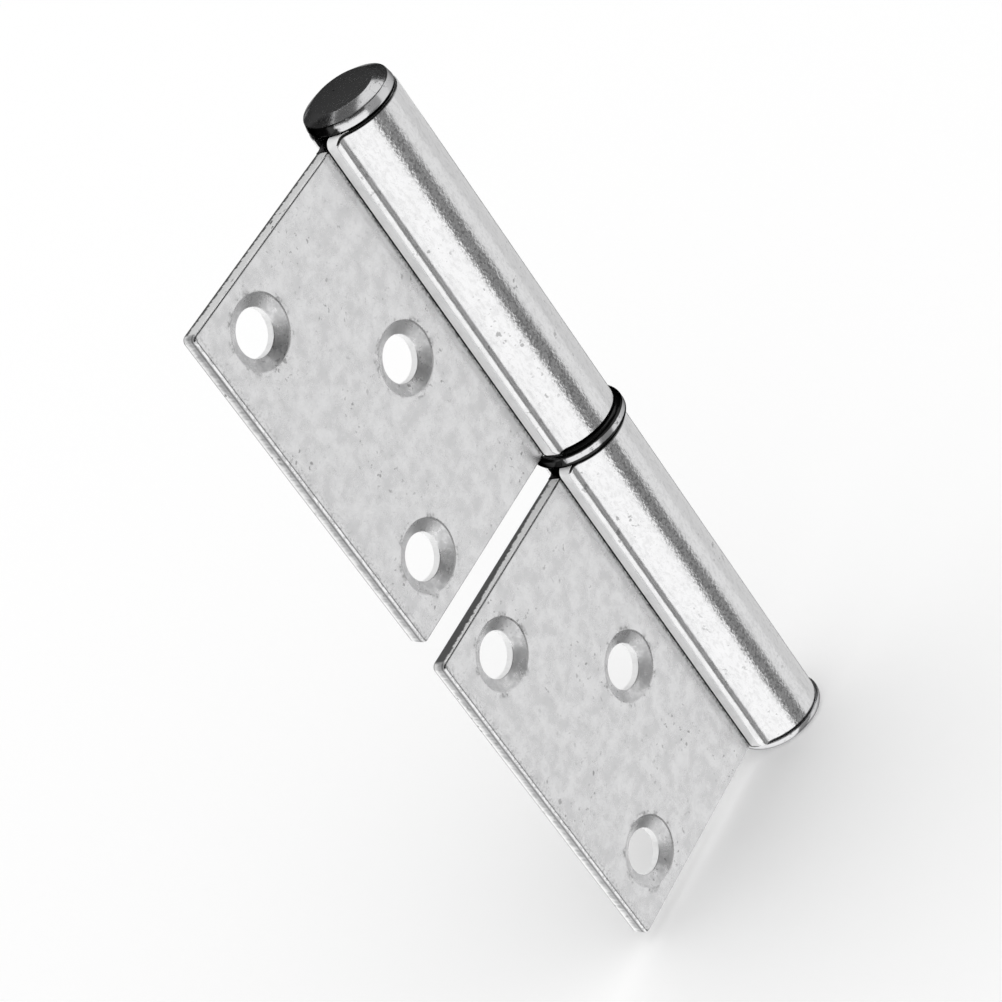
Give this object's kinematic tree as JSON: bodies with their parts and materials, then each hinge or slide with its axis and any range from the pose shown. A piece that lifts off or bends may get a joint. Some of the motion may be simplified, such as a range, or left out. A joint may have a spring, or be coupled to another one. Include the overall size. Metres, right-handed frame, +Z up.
{
  "type": "flag hinge",
  "caption": "Lift-off flag hinge: countersunk sheet-steel leaves with rolled knuckles, turning on a fixed pin over a round-rimmed bearing ring, under a button-headed top plug.",
  "frame": {"origin": "on the lower leaf's back face, which lies on the door frame, midway between its outer screw holes", "axes": "+Z up along the hinge axis, +Y into the door frame behind the leaves, +X from the leaves' outer edge towards the knuckles"},
  "size_m": [0.0447, 0.0134, 0.1071],
  "materials": {
    "leaf_zinc": "bright zinc plating on rolled sheet steel, slightly mottled",
    "turned_zinc": "bright zinc plating on turned steel"
  },
  "bodies": {
    "frame_half": {"lower_leaf": "leaf_zinc", "hinge_pin": "turned_zinc"},
    "ring": {"bearing_ring": "turned_zinc"},
    "door_half": {"upper_leaf": "leaf_zinc", "top_plug": "turned_zinc"}
  },
  "joints": [
    {"name": "swing", "type": "hinge", "parent": "frame_half", "child": "ring", "pos_m": [0.03, -0.002, 0.0267], "axis": [0, 0, 1], "continuous": true},
    {"name": "lift_off", "type": "slide", "parent": "ring", "child": "door_half", "axis": [0, 0, 1], "range_m": [0, 0.03]}
  ]
}
